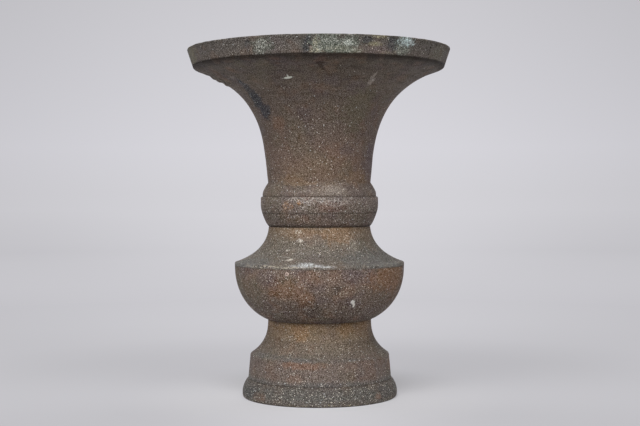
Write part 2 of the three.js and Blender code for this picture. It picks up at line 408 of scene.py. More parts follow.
def seam_angles(rows):
    """Angles for the lip band, even ones with finer ones at the seam: row by row, as the seam
    wanders, and straight."""
    width = np.degrees(2 * SEAM_HALF_WIDTH / LIP_RADIUS)
    even = even_angles()[0]
    even = even[np.abs(even - SEAM_ANGLE) > SEAM_REACH * width]
    angles = np.sort(np.concatenate([even, SEAM_ANGLE + SEAM_STEPS * width]))
    height = rows[:, 1][:, None]
    wander = sum(size * np.sin(height * times + shift) for size, times, shift in SEAM_WAVES)
    near = hill(angles[None, :], SEAM_ANGLE, WANDER_REACH)
    return angles[None, :] + np.degrees(SEAM_WANDER / LIP_RADIUS) * wander * near, angles


def lip_band():
    """The lip band, with a groove on both faces where its seam has opened."""
    rows = smooth_section(section_of("lip_band"), WORN_LIP)
    angles, straight = seam_angles(rows)
    aside = np.radians(straight - SEAM_ANGLE) * LIP_RADIUS
    below_top = 1 - rise(rows[:, 1], SEAM_TOP - SEAM_FADE, SEAM_TOP)
    groove = SEAM_DEPTH * hill(aside, 0, SEAM_HALF_WIDTH)[None, :] * below_top[:, None]
    middle = MOUTH_EDGE_RADIUS + (rows[:, 1] - MOUTH_EDGE) * LIP_SLOPE - LIP_HALF_WALL
    inward = np.where(rows[:, 0] > middle, -1, 1)[:, None] * groove
    return mesh_piece("lip_band_bronze", as_cast(moved_out(turned_points(rows, angles), inward)))


def floor_plate():
    """The disc that closes the bowl, with a worn rim."""
    low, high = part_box("floor_plate")
    radius = high[0] / MM
    bottom, top = low[2] / MM, high[2] / MM
    corner, bevel = PLATE_CORNER, PLATE_CORNER * 0.3
    rings = np.arange(PLATE_STEP, radius - 1, PLATE_STEP)
    rows = [(PLATE_CENTRE, bottom)]
    rows += [(r, bottom) for r in rings]
    rows += [(radius - corner, bottom), (radius - bevel, bottom + bevel)]
    rows += [(radius, bottom + corner), (radius, top - corner)]
    rows += [(radius - bevel, top - bevel), (radius - corner, top)]
    rows += [(r, top) for r in np.arange(radius - PLATE_STEP, 1, -PLATE_STEP)]
    rows += [(PLATE_CENTRE, top)]
    points = as_cast(turned_points(np.array(rows), even_angles()))
    return mesh_piece("floor_plate_bronze", points, closed=False)


def pin_head(name, node):
    """A pin with its head set flush in the worn surface, a little domed."""
    low, high = (np.array(corner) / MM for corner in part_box(node))
    middle = (low + high) / 2
    angle = math.atan2(middle[0], -middle[1])
    radius = (high[2] - low[2]) / 2
    outward = np.array([math.sin(angle), -math.cos(angle), 0])
    aside = np.array([math.cos(angle), math.sin(angle), 0])
    upward = np.array([0, 0, 1])
    height = upward * middle[2]
    face = as_cast(outward * BOWL_RIM_RADIUS + height)
    face = math.hypot(face[0], face[1])
    turn = np.arange(PIN_SIDES)[:, None] * 2 * math.pi / PIN_SIDES
    ring = (np.cos(turn) * aside + np.sin(turn) * upward) * radius
    points = [ring * share + outward * (face + out) + height for share, out in PIN_ROWS]
    return mesh_piece(name, np.array(points), closed=False)


# Materials


class Nodes:
    """A node tree, with short ways to add to it. A value is a number, a colour or an output."""

    def __init__(self, tree):
        self.tree = tree

    def add(self, kind, **settings):
        node = self.tree.nodes.new("ShaderNode" + kind)
        for name, value in settings.items():
            setattr(node, name, value)
        return node

    def put(self, value, socket):
        """Links an output, or sets a plain value."""
        if isinstance(value, bpy.types.NodeSocket):
            self.tree.links.new(value, socket)
        else:
            socket.default_value = value

    def math(self, operation, a, b=0.0, clamp=False):
        node = self.add("Math", operation=operation, use_clamp=clamp)
        self.put(a, node.inputs[0])
        self.put(b, node.inputs[1])
        return node.outputs[0]

    def times(self, a, b):
        return self.math("MULTIPLY", a, b)

    def plus(self, a, b):
        return self.math("ADD", a, b)

    def between(self, value, low, high, start=0.0, end=1.0, kind="SMOOTHSTEP"):
        """Goes from start, where value is low, to end, where it is high."""
        node = self.add("MapRange", interpolation_type=kind)
        self.put(value, node.inputs["Value"])
        ends = {"From Min": low, "From Max": high, "To Min": start, "To Max": end}
        for name, number in ends.items():
            node.inputs[name].default_value = number
        return node.outputs["Result"]

    def axes(self, vector):
        """The x, y and z of a vector."""
        node = self.add("SeparateXYZ")
        self.put(vector, node.inputs[0])
        return node.outputs

    def length(self, vector):
        node = self.add("VectorMath", operation="LENGTH")
        self.put(vector, node.inputs[0])
        return node.outputs["Value"]

    def mix(self, factor, a, b, blend="MIX", kind="RGBA"):
        node = self.add("Mix", data_type=kind, blend_type=blend)
        for name, value in (("Factor", factor), ("A", a), ("B", b)):
            self.put(value, node.inputs[name])
        return node.outputs["Result"]

    def ramp(self, value, stops, kind="LINEAR"):
        """The colour that stops, pairs of (value, colour), give for a value."""
        low, high = stops[0][0], stops[-1][0]
        node = self.add("ValToRGB")
        node.color_ramp.interpolation = kind
        points = node.color_ramp.elements
        while len(points) < len(stops):
            points.new(0.5)
        for point, (at, colour) in zip(points, stops):
            point.position = (at - low) / (high - low)
            point.color = colour
        self.put(self.between(value, low, high, kind="LINEAR"), node.inputs["Fac"])
        return node.outputs["Color"]

    def lobes(self, axes, count, least):
        """Goes from 1 down to least and back, count times round the vase."""
        angle = self.math("ARCTAN2", axes["X"], axes["Y"])
        wave = self.math("COSINE", self.times(angle, count))
        return self.between(wave, -1, 1, least, 1, kind="LINEAR")

    def backdrop_rays(self):
        """1 for rays that see the backdrop: from the camera, and off or through the vase."""
        path = self.add("LightPath").outputs
        seen = self.math("ADD", path["Is Camera Ray"], path["Is Glossy Ray"], clamp=True)
        return self.math("ADD", seen, path["Is Transmission Ray"], clamp=True)

    def choose(self, factor, a, b):
        """A mix of two shaders."""
        node = self.add("MixShader")
        for socket, value in zip(node.inputs, (factor, a, b)):
            self.put(value, socket)
        return node.outputs[0]


DARK_BROWN = tone(84, 73, 65)
RUST = tone(130, 98, 76)
PLUM = tone(98, 86, 88)
OLIVE = tone(104, 98, 80)
SLATE = tone(98, 102, 102)
# Colours of the bright specks: pale grains, and painted glints of the metal.
SPECK_AND_GLINT_CREAM = tone(248, 240, 224)
SPECK_AND_GLINT_BLUE = tone(226, 234, 240)
# The darkest brown is grime, and also painted shade under the lip and where the ring stands.
GRIME_AND_SHADE = tone(44, 37, 31)
CHALK = tone(212, 214, 202)
BLUE_BLACK = tone(48, 54, 62)

# Settings of the skin: share of plain metal in it, reflection, and strength of the relief. A face
# looks out where its normal times its place is over FACING. A patch reaches PATCH_DEPTH inwards.
METAL = 0.15
SPECULAR = 0.2
RELIEF = 0.35
FACING = 0.002
PATCH_DEPTH = 8


class Skin(Nodes):
    """A material of the vase, whose nodes read the place on the vase in millimetres."""

    def __init__(self, name):
        self.material = bpy.data.materials.new(name)
        self.material.use_nodes = True
        super().__init__(self.material.node_tree)
        where = self.add("TexCoord").outputs["Object"]
        scaled = self.add("VectorMath", operation="SCALE")
        self.put(where, scaled.inputs[0])
        scaled.inputs["Scale"].default_value = 1 / MM
        self.where = scaled.outputs[0]
        self.height = self.axes(self.where)["Z"]
        level = self.add("VectorMath", operation="MULTIPLY")
        self.put(where, level.inputs[0])
        level.inputs[1].default_value = (1, 1, 0)
        facing = self.add("VectorMath", operation="DOT_PRODUCT")
        self.put(self.add("NewGeometry").outputs["Normal"], facing.inputs[0])
        self.put(level.outputs[0], facing.inputs[1])
        self.outside = self.between(facing.outputs["Value"], -FACING, FACING)

    def noise(self, size, detail=2.0, rough=0.5, seed=0.0, stretch=None):
        """Noise from 0 to 1, whose lumps are about size across."""
        node = self.add("TexNoise", noise_dimensions="4D")
        source = self.where
        if stretch:
            mapped = self.add("Mapping")
            self.put(self.where, mapped.inputs["Vector"])
            mapped.inputs["Scale"].default_value = stretch
            source = mapped.outputs[0]
        self.put(source, node.inputs["Vector"])
        node.inputs["W"].default_value = seed
        node.inputs["Scale"].default_value = 1 / size
        node.inputs["Detail"].default_value = detail
        node.inputs["Roughness"].default_value = rough
        return node.outputs["Fac"]

    def crumbs(self, size, seed, low, high, start=0.0, end=1.0, **more):
        """Goes from start to end where the noise goes from low to high."""
        return self.between(self.noise(size, seed=seed, **more), low, high, start, end)

    def band(self, low, high, soft):
        """1 between two heights, and 0 outside them."""
        up = self.between(self.height, low - soft, low + soft)
        down = self.between(self.height, high - soft, high + soft, 1, 0)
        return self.times(up, down)

    def patch(self, place, size, ragged, slant=0, soft=0.35):
        """1 on a patch of the surface, and 0 away from it. Its place is an angle, a height and a
        radius, its size half a width, a depth and half a height. ragged is noise that breaks up
        its edge."""
        angle, height, radius = place
        a = math.radians(angle)
        node = self.add("Mapping", vector_type="TEXTURE")
        self.put(self.where, node.inputs["Vector"])
        middle = (radius * math.sin(a), -radius * math.cos(a), height)
        node.inputs["Location"].default_value = middle
        node.inputs["Rotation"].default_value = (0, math.radians(slant), a)
        node.inputs["Scale"].default_value = size
        away = self.plus(self.length(node.outputs[0]), ragged)
        return self.times(self.between(away, 1 - soft, 1 + soft, 1, 0), self.outside)

    def strongest(self, masks):
        result = masks[0]
        for mask in masks[1:]:
            result = self.math("MAXIMUM", result, mask)
        return result

    def patches(self, places, ragged, soft=0.4):
        """The strongest of several patches, each (angle, height, radius, half width, half height,
        strength), with a slant if it has one."""
        masks = []
        for angle, height, radius, half_width, half_height, strength, *slant in places:
            place, size = (angle, height, radius), (half_width, PATCH_DEPTH, half_height)
            mask = self.patch(place, size, ragged, *slant, soft=soft)
            masks.append(self.times(mask, strength))
        return self.strongest(masks)

    def lay(self, colour, layer, places, ragged, soft=0.4, broken=None):
        """The colour with patches of a layer over it. broken is a mask with gaps for them."""
        mask = self.patches(places, ragged, soft)
        if broken is not None:
            mask = self.times(mask, broken)
        return self.mix(mask, colour, layer)

    def grime_and_shade_band(self, colour, low, high, start, end, dirt=GRIME_AND_SHADE):
        """The colour with a dark band that goes from start, at the height low, to end, at high:
        grime at joints, and painted shade under the lip and where the ring stands.
        """
        return self.mix(self.between(self.height, low, high, start, end), colour, dirt)

    def ragged(self, size=2.5, amount=1.1, seed=51):
        """Noise about 0 that breaks up the edges of patches."""
        noise = self.noise(size, detail=3, seed=seed)
        return self.times(self.math("SUBTRACT", noise, 0.5), amount * 2)

    def specks(self, cell, part, spread, seed):
        """Round specks in a part of all cells of a size. Gives the specks, and a number that is
        random for each."""
        node = self.add("TexVoronoi", voronoi_dimensions="4D", feature="F1")
        self.put(self.where, node.inputs["Vector"])
        node.inputs["W"].default_value = seed
        node.inputs["Scale"].default_value = 1 / cell
        inside = self.between(node.outputs["Distance"], spread * 0.6, spread, 1, 0)
        lot = self.add("SeparateColor")
        self.put(node.outputs["Color"], lot.inputs[0])
        spare = self.math("SUBTRACT", part, lot.outputs["Red"])
        chosen = self.math("MULTIPLY", spare, 5.0, clamp=True)
        return self.times(inside, chosen), lot.outputs["Green"]

    def grey(self, value):
        node = self.add("CombineColor")
        for socket in node.inputs:
            self.put(value, socket)
        return node.outputs[0]

    def rough(self, low=0.6, high=0.75):
        """Roughness of the patinated metal."""
        return self.crumbs(4, 31, 0.3, 0.7, low, high)

    def finish(self, colour, relief, rough=None, metal=METAL, strength=RELIEF):
        """The material, with a relief in millimetres that shows at a strength."""
        surface = self.tree.nodes["Principled BSDF"]
        self.put(colour, surface.inputs["Base Color"])
        self.put(self.rough() if rough is None else rough, surface.inputs["Roughness"])
        self.put(metal, surface.inputs["Metallic"])
        surface.inputs["Specular IOR Level"].default_value = SPECULAR
        bump = self.add("Bump")
        bump.inputs["Strength"].default_value = strength
        bump.inputs["Distance"].default_value = MM
        self.put(relief, bump.inputs["Height"])
        self.put(bump.outputs["Normal"], surface.inputs["Normal"])
        return self.material


# Soft clouds that every casting has, as (colour, size, seed, strength)
CLOUDS = (
    (PLUM, 9, 3, 0.45),
    (RUST, 7, 11, 0.32),
    (OLIVE, 12, 17, 0.4),
    (DARK_BROWN, 4, 61, 0.16),
)

# The sand-cast skin: how dark and pale its grains get, the shares of this that multiply and lift
# the colour, and the relief. Pits and specks have a cell size, a share and a spread in their cell.
SAND_SIZE = 0.36
SAND_SWING = (-0.65, 1)
SAND_DEPTH = 0.65
SAND_LIFT = 0.078
SAND_RELIEF = 0.6
PIT_CELL, PIT_SPREAD = 1.0, 0.26
PIT_DIRT = 0.15
PIT_RELIEF = -0.4
# The fine and large specks are bright: pale grains, and painted glints.
FINE_CELL, FINE_SHARE, FINE_SPREAD = 0.6, 0.45, 0.4
LARGE_CELL, LARGE_SHARE, LARGE_SPREAD = 1.15, 1.35, 0.24
SPECK_RELIEF = 0.25


def mottled(s, colour, amount):
    """The colour with soft clouds of an amount."""
    for cloud, size, seed, strength in CLOUDS:
        mask = s.crumbs(size, seed, 0.5, 0.68, 0, strength * amount, detail=1.5)
        colour = s.mix(mask, colour, cloud)
    return colour


def ground(s, tones, waves, clouded, edge, layers=()):
    """A casting's colour without its sand: tones, pairs of (height, screen colour), with borders
    that go up and down by about waves, then clouds and layers of patches."""
    wave = s.math("SUBTRACT", s.noise(9, detail=2, seed=2), 0.5)
    height = s.plus(s.height, s.times(wave, waves * 2))
    colour = s.ramp(height, [(level, tone(*screen)) for level, screen in tones], "EASE")
    colour = mottled(s, colour, clouded)
    for layer, places in layers:
        colour = s.lay(colour, layer, places, edge)
    return colour


def sandy(s, colour, grain, specks_and_glints, pitted):
    """Adds the sand-cast skin: grain, bright specks, which are pale grains and painted glints, and
    dark pits. Gives the colour and relief. The amounts of grain, specks and pits are numbers or
    outputs."""
    sand = s.noise(SAND_SIZE, detail=0, seed=23)
    swing = s.times(s.between(sand, 0.36, 0.7, *SAND_SWING), grain)
    colour = s.mix(SAND_DEPTH, colour, s.grey(s.plus(swing, 1.0)), "MULTIPLY")
    colour = s.mix(1.0, colour, s.grey(s.times(swing, SAND_LIFT)), "ADD")
    pits, _ = s.specks(PIT_CELL, pitted, PIT_SPREAD, 41)
    colour = s.mix(s.times(pits, PIT_DIRT), colour, GRIME_AND_SHADE)
    # Bright specks: pale grains, and painted glints of the metal.
    fine, _ = s.specks(FINE_CELL, s.times(specks_and_glints, FINE_SHARE), FINE_SPREAD, 29)
    colour = s.mix(fine, colour, SPECK_AND_GLINT_CREAM)
    large, lot = s.specks(LARGE_CELL, s.times(specks_and_glints, LARGE_SHARE), LARGE_SPREAD, 35)
    colour = s.mix(large, colour, s.mix(lot, SPECK_AND_GLINT_CREAM, SPECK_AND_GLINT_BLUE))
    relief = s.plus(s.times(sand, SAND_RELIEF), s.times(pits, PIT_RELIEF))
    specks = s.times(s.math("MAXIMUM", fine, large), SPECK_RELIEF)
    return colour, s.plus(relief, specks)


TRUMPET_TONES = (
    (COLLAR_TOP, (124, 112, 102)),
    (107, (120, 108, 98)),
    (NECK - 0.5, (112, 99, 89)),
    (NECK + 3, (115, 98, 86)),
    (124, (116, 98, 87)),
    (140, (109, 95, 85)),
    (158, (105, 94, 84)),
    # The last stops darken the trumpet towards the lip, most of all just under it: painted shade.
    (MOUTH_EDGE - 3.5, (89, 80, 71)),
    (MOUTH_EDGE, (60, 53, 47)),
)
TRUMPET_OCHRE = (
    (-4, 116, 27, 20, 7, 0.3),
    (-32, 112.5, 26.6, 7, 2.5, 0.7),
    (56, 113.6, 26.7, 13, 3.5, 0.6),
    (140, 114, 26.7, 16, 4, 0.6),
    (-130, 118, 27, 12, 5, 0.5),
    (-22, 110.6, 26.8, 10, 1.5, 0.6),
)
TRUMPET_RUST = ((-40, 141, 31.6, 4, 3.4, 0.4), (95, 150, 36, 6, 4, 0.4))
TRUMPET_OLIVE = (
    (34, 148, 35, 8, 14, 0.55),
    (-150, 145, 33.5, 10, 12, 0.5),
    (-20, 131, 29, 6, 8, 0.3),
)
TRUMPET_PLUM = ((72, 122, 27.6, 8, 11, 0.6), (170, 132, 29, 10, 8, 0.5))
TRUMPET_STREAK = (
    (-56, 158.6, 43, 3.4, 5, 0.6),
    (-55.8, 152.3, 37.6, 4.4, 5.2, 0.75),
    (-51.5, 147.2, 34.4, 4.4, 3.6, 0.75, -35),
)
TRUMPET_STAIN = ((0.2, 167.4, 57.8, 2.4, 0.6, 0.65), (1.6, 165.8, 54.3, 2.4, 0.6, 0.75, 38))
# Pale scuffs; the patch at 15 degrees on the upper knop is a painted sheen.
TRUMPET_SCUFF_AND_SHEEN = (
    (33.2, 162.6, 48.6, 0.9, 1.9, 0.5, 12),
    (34.4, 160.4, 45.5, 1.3, 1.8, 0.5, 4),
    (15, 107, 28.8, 6, 2.8, 0.35),
    (-60, 163.5, 50, 2, 0.6, 0.3),
)
TRUMPET_CHIP = ((-18.6, 161.6, 47.3, 2.5, 0.42, 1, -5), (-18.2, 162.1, 47.8, 0.5, 0.8, 0.8))


def trumpet_bronze():
    """Mouth, neck and upper knop: brown, darker towards the lip with painted shade just under it,
    ochre low on the neck.
    """
    s = Skin("trumpet_bronze")
    edge = s.ragged()
    layers = (
        (tone(132, 108, 86), TRUMPET_OCHRE),
        (RUST, TRUMPET_RUST),
        (OLIVE, TRUMPET_OLIVE),
        (PLUM, TRUMPET_PLUM),
    )
    colour = ground(s, TRUMPET_TONES, 3, 0.8, edge, layers)
    turning = s.crumbs(1.0, 89, 0.5, 0.64, 0, 0.3, detail=1, stretch=(0.08, 0.08, 1))
    colour = s.mix(s.times(turning, s.between(s.height, 146, 160)), colour, GRIME_AND_SHADE)
    crust, _ = s.specks(1.0, 0.9, 0.42, 71)
    streak = s.mix(s.times(crust, 0.8), BLUE_BLACK, tone(146, 154, 154))
    colour = s.lay(colour, streak, TRUMPET_STREAK, edge)
    colour = s.lay(colour, tone(46, 32, 20), TRUMPET_STAIN, s.ragged(1.2, 0.5, seed=53))
    # Pale scuffs, and the painted sheen on the upper knop.
    colour = s.lay(colour, tone(168, 158, 148), TRUMPET_SCUFF_AND_SHEEN, s.ragged(1.0, 1.2, seed=53))
    grain = s.between(s.height, 136, 169, 0.72, 0.55)
    specks_and_glints = s.between(s.height, 126, 169, 0.52, 0.12)
    colour, relief = sandy(s, colour, grain, specks_and_glints, 0.4)
    colour = s.lay(colour, CHALK, TRUMPET_CHIP, s.ragged(1.2, 0.8, seed=53), soft=0.25)
    # Painted shade on the trumpet just under the lip.
    colour = s.grime_and_shade_band(colour, MOUTH_EDGE - 2.6, MOUTH_EDGE - 0.3, 0, 0.75)
    return s.finish(colour, relief)


COLLAR_TONES = (
    (SHOULDER_TOP, (96, 85, 77)),
    (SHOULDER_TOP + 2, (115, 102, 94)),
    (94.8, (110, 97, 89)),
    (95.8, (115, 103, 95)),
    (100, (120, 107, 99)),
    (102.5, (131, 119, 111)),
    (COLLAR_TOP, (114, 103, 95)),
)
COLLAR_ORANGE = (
    (-30.5, 99.2, 30.3, 2.6, 2, 0.6),
    (-18.8, 100.8, 30.4, 1.6, 1.4, 0.9),
    (100, 98, 30.3, 4, 3, 0.5),
    (-120, 96, 30, 5, 2, 0.5),
)
COLLAR_RUST = ((16, 98.3, 30.3, 6, 2.5, 0.4), (160, 99, 30.3, 6, 3, 0.5))
# Pale patches on the collar's top: a painted sheen across its front, and a few pale scuffs.
COLLAR_SHEEN_AND_SCUFF = (
    (-5.4, 102, 30.4, 14, 1.7, 0.7),
    (16, 100.8, 30.4, 6, 1.6, 0.5),
    (-14, 98, 30.3, 2, 1, 0.7),
)
TOOL_LINE = (95.1, 95.6, 0.4)


def collar_bronze():
    """Lower knop: grey-brown with a scuffed top under a painted sheen, orange and plum spots, dark
    below.
    """
    s = Skin("collar_bronze")
    edge = s.ragged()
    colour = ground(s, COLLAR_TONES, 0.8, 1.0, edge)
    gaps = s.crumbs(1.0, 45, 0.4, 0.6)
    colour = s.lay(colour, tone(158, 114, 68), COLLAR_ORANGE, edge, broken=gaps)
    colour = s.lay(colour, tone(112, 84, 76), COLLAR_RUST, edge)
    flakes = s.crumbs(0.8, 47, 0.42, 0.6)
    # Painted sheen and pale scuffs on the collar's top.
    colour = s.lay(colour, tone(176, 170, 162), COLLAR_SHEEN_AND_SCUFF, edge, broken=flakes)
    colour, relief = sandy(s, colour, 0.9, 0.75, 0.5)
    colour = s.grime_and_shade_band(colour, COLLAR_TOP - 0.5, COLLAR_TOP - 0.1, 0, 0.4, DARK_BROWN)
    line = s.times(s.band(*TOOL_LINE), s.crumbs(5, 65, 0.35, 0.6, 0.3, 0.7))
    colour = s.mix(line, colour, GRIME_AND_SHADE)
    colour = s.grime_and_shade_band(colour, SHOULDER_TOP, SHOULDER_TOP + 1.6, 0.45, 0)
    return s.finish(colour, relief)


SHOULDER_TONES = (
    (68, (110, 102, 93)),
    (ARRIS + 0.5, (115, 107, 98)),
    (74, (111, 104, 96)),
    (80, (110, 102, 91)),
    (84, (122, 108, 93)),
    (87, (132, 113, 93)),
    (SHOULDER_TOP, (120, 103, 86)),
)
SHOULDER_ORANGE = (
    (19.7, 84, 27.2, 8, 4, 0.4),
    (-20.5, 85.3, 26.9, 10, 2.6, 0.25),
    (120, 83, 27.4, 9, 4, 0.4),
    (-110, 84, 27.2, 7, 3, 0.4),
)
SHOULDER_SLATE = (
    (42, 72.2, 38, 17, 6.5, 0.4),
    (-60, 70.5, 42, 16, 2.5, 0.4),
    (150, 72, 38, 20, 6, 0.5),
)
SHOULDER_DARK = ((76, 73, 37.5, 13, 7, 0.45), (-96, 80, 29, 9, 6, 0.3))
SHOULDER_PALE = ((-23.5, 86.2, 26.8, 1.9, 1.1, 1), (32, 80, 29.1, 3.8, 4.8, 0.3))
SHOULDER_SCRATCHES = (
    (-30, 73.8, 34.8, 4, 0.16, 0.5, 2),
    (-27, 72.4, 36.8, 2, 0.15, 0.4, 4),
    (24, 71.6, 38.8, 5, 0.16, 0.3),
)
SHOULDER_CHIPS = (
    (-19.7, 81.8, 28.3, 1.2, 0.8, 0.9, 30),
    (-29.5, 76.9, 30.8, 0.9, 0.5, 0.8),
    (-23, 72.6, 36.5, 1.7, 0.5, 0.9, -12),
)
# A painted highlight along the front of the arris, on metal worn bare there.
ARRIS_PAINTED_HIGHLIGHT = (
    (-8.8, 70.4, 42, 3.8, 0.9, 1),
    (-2.5, 70, 43, 3.2, 0.5, 0.75),
    (4, 69.6, 43.6, 4, 0.35, 0.45),
    (-16, 69.9, 42.9, 3, 0.45, 0.4),
)
ARRIS_FLECKS = ((-34, 69.2, 43.8, 19, 0.8, 1), (140, 69.2, 43.8, 19, 0.8, 1))


def shoulder_bronze():
    """Shoulder: golden under the knop, grey-olive on the slope, worn pale along the arris, with a
    painted highlight at the arris's front.
    """
    s = Skin("shoulder_bronze")
    edge = s.ragged()
    layers = (
        (tone(146, 112, 80), SHOULDER_ORANGE),
        (SLATE, SHOULDER_SLATE),
        (tone(80, 77, 72), SHOULDER_DARK),
    )
    colour = ground(s, SHOULDER_TONES, 2.5, 0.5, edge, layers)
    colour, relief = sandy(s, colour, 0.8, 0.7, 0.42)
    fine_edge = s.ragged(1.2, 0.9, seed=53)
    flakes = s.crumbs(0.8, 77, 0.5, 0.6, rough=0.7)
    colour = s.lay(colour, tone(214, 206, 190), SHOULDER_PALE, fine_edge, broken=flakes)
    colour = s.lay(colour, tone(176, 174, 166), SHOULDER_SCRATCHES, fine_edge)
    chip_edge = s.ragged(0.7, 1.3, seed=53)
    gaps = s.crumbs(0.6, 95, 0.44, 0.56, 0.25, 1.0, detail=1)
    colour = s.lay(colour, tone(226, 220, 208), SHOULDER_CHIPS, chip_edge, 0.5, gaps)
    worn = s.crumbs(5, 57, 0.42, 0.62, detail=4, stretch=(1, 1, 0.6))
    worn = s.times(s.times(s.band(ARRIS - 0.6, ARRIS + 1.4, 0.5), worn), 0.25)
    colour = s.mix(worn, colour, tone(150, 152, 150))
    # The painted highlight at the arris front, with glitter in it; it also lowers the roughness
    # there.
    painted_highlight = s.patches(ARRIS_PAINTED_HIGHLIGHT, s.ragged(1.4, 1.0, seed=59), soft=0.6)
    highlight_glitter = s.times(painted_highlight, s.crumbs(0.8, 85, 0.42, 0.56, 0.15, 1.0, detail=1))
    colour = s.mix(highlight_glitter, colour, tone(240, 244, 246))
    flecks = s.crumbs(0.9, 91, 0.52, 0.6, 0, 0.6, detail=1, stretch=(0.6, 0.6, 1))
    colour = s.lay(colour, tone(206, 196, 178), ARRIS_FLECKS, fine_edge, broken=flecks)
    colour = s.grime_and_shade_band(colour, 68.0, 68.6, 0.15, 0)
    return s.finish(colour, relief, s.math("SUBTRACT", s.rough(), s.times(painted_highlight, 0.2)))


BOWL_TONES = (
    (WAIST, (94, 83, 74)),
    (44, (101, 89, 80)),
    (50, (106, 92, 82)),
    (56, (113, 98, 86)),
    (63, (121, 103, 91)),
    (68, (121, 106, 96)),
)
BOWL_RUST = (
    (-25, 57.7, 42.5, 10, 5, 0.4),
    (-7.6, 65, 43.8, 5, 3.4, 0.25),
    (57, 63, 43.6, 16, 7.5, 0.6),
    (-9.6, 53.5, 40.8, 4, 4.5, 0.3),
    (105, 58, 42.5, 9, 6, 0.4),
    (170, 62, 43.5, 12, 5, 0.5),
    (-120, 60, 43, 10, 6, 0.4),
)
BOWL_PLUM = (
    (-36.5, 62.7, 43.6, 6.4, 4, 0.4),
    (21, 65.5, 43.8, 6, 4, 0.35),
    (130, 64, 43.7, 10, 4, 0.4),
)
BOWL_DARK = (
    (11.8, 58.2, 42.6, 2.4, 2.2, 0.5),
    (-5, 48.4, 37.7, 4.5, 4.7, 0.3),
    (-90, 52, 40, 8, 5, 0.3),
    (84, 60, 43.2, 11, 10, 0.3),
)
BOWL_OLIVE = ((-62, 55.7, 41.5, 13, 9, 0.4), (-170, 50, 39, 14, 7, 0.4))
BOWL_PALE = ((15.5, 55.8, 41.8, 2.8, 2.4, 0.7), (18, 49, 38.2, 1.6, 1.2, 0.7))
BOWL_CHIP = ((24.2, 51.7, 39.8, 1.2, 1, 1, 20), (25.6, 50.2, 39, 0.7, 1.4, 1, -20))


def bowl_bronze():
    """Bowl: brown with rust, plum and olive clouds, dark and grey towards the waist."""
    s = Skin("bowl_bronze")
    edge = s.ragged()
    layers = (
        (tone(134, 98, 70), BOWL_RUST),
        (PLUM, BOWL_PLUM),
        (tone(58, 51, 47), BOWL_DARK),
        (OLIVE, BOWL_OLIVE),
    )
    colour = ground(s, BOWL_TONES, 3, 1.0, edge, layers)
    grain = s.between(s.height, 44, 58, 1.0, 0.85)
    colour, relief = sandy(s, colour, grain, 0.72, 0.5)
    flakes = s.crumbs(1.2, 77, 0.54, 0.64, rough=0.7)
    colour = s.lay(colour, tone(196, 184, 166), BOWL_PALE, edge, broken=flakes)
    chip_edge = s.ragged(0.9, 1.2, seed=53)
    colour = s.lay(colour, tone(222, 220, 212), BOWL_CHIP, chip_edge, soft=0.25)
    colour = s.grime_and_shade_band(colour, 67.2, 67.9, 0, 0.15)
    colour = s.grime_and_shade_band(colour, WAIST, WAIST + 1.8, 0.15, 0)
    return s.finish(colour, relief)


FOOT_TONES = (
    (BASE_TOP, (112, 102, 93)),
    (13, (114, 102, 94)),
    (20, (116, 103, 95)),
    (23, (108, 98, 89)),
    (29, (114, 101, 88)),
    (34, (136, 118, 97)),
    (38, (148, 124, 97)),
    (WAIST, (130, 108, 82)),
)
FOOT_ORANGE = (
    (-21, 35.3, 27.1, 4.5, 4.5, 0.4),
    (30, 36.3, 27, 5, 3, 0.3),
    (110, 35, 27, 6, 4, 0.4),
    (-140, 36, 27, 6, 3, 0.4),
)
FOOT_RED = (
    (-14, 20, 36.3, 11, 1.7, 0.45),
    (-19, 12.6, 36.9, 4.2, 2.5, 0.25),
    (90, 17, 36.5, 10, 4, 0.4),
    (-160, 18, 36.4, 12, 3, 0.4),
)
FOOT_DARK = ((80, 31, 30, 8, 8, 0.35), (-100, 20, 36, 10, 6, 0.3))
FOOT_SLATE = (
    (-17, 22.7, 35.5, 9, 0.9, 0.4),
    (-52, 23.2, 35.2, 14, 1.2, 0.3),
    (36, 22.4, 35.7, 12, 0.7, 0.25),
    (150, 22.7, 35.5, 20, 0.9, 0.4),
)


def foot_bronze():
    """Foot: golden under the bowl, grey-brown on the slope, reddish on the wall."""
    s = Skin("foot_bronze")
    edge = s.ragged()
    layers = (
        (tone(150, 112, 72), FOOT_ORANGE),
        (tone(138, 102, 80), FOOT_RED),
        (tone(80, 72, 66), FOOT_DARK),
    )
    colour = ground(s, FOOT_TONES, 2, 0.7, edge, layers)
    colour = s.lay(colour, SLATE, FOOT_SLATE, s.ragged(2.0, 1.2, seed=63), soft=0.6)
    crust = s.between(s.plus(s.height, s.ragged(3, 1.2, seed=97)), 10.6, 13.0, 1.0, 0)
    colour = s.mix(s.times(crust, 0.4), colour, SLATE)
    colour, relief = sandy(s, colour, 0.78, s.plus(s.times(crust, 0.3), 0.6), 0.45)
    colour = s.grime_and_shade_band(colour, BASE_TOP, BASE_TOP + 1.4, 0.1, 0)
    colour = s.grime_and_shade_band(colour, WAIST - 1.0, WAIST, 0, 0.2)
    return s.finish(colour, relief)


RING_TONES = (
    (0, (100, 93, 86)),
    (1.5, (104, 98, 92)),
    (4, (96, 93, 88)),
    (7.5, (94, 90, 85)),
    (BASE_TOP, (92, 85, 79)),
)
RING_ORANGE = (
    (-50, 3.2, 40.2, 5.3, 2, 0.4),
    (47, 3.5, 40.2, 2.6, 1.6, 0.4),
    (120, 4, 40.2, 7, 2, 0.4),
)
RING_DARK = ((-62, 4, 40.2, 11, 3, 0.5), (-150, 5, 40.2, 14, 3, 0.4))
RING_CRUST = (0.2, 1.6, 0.5)


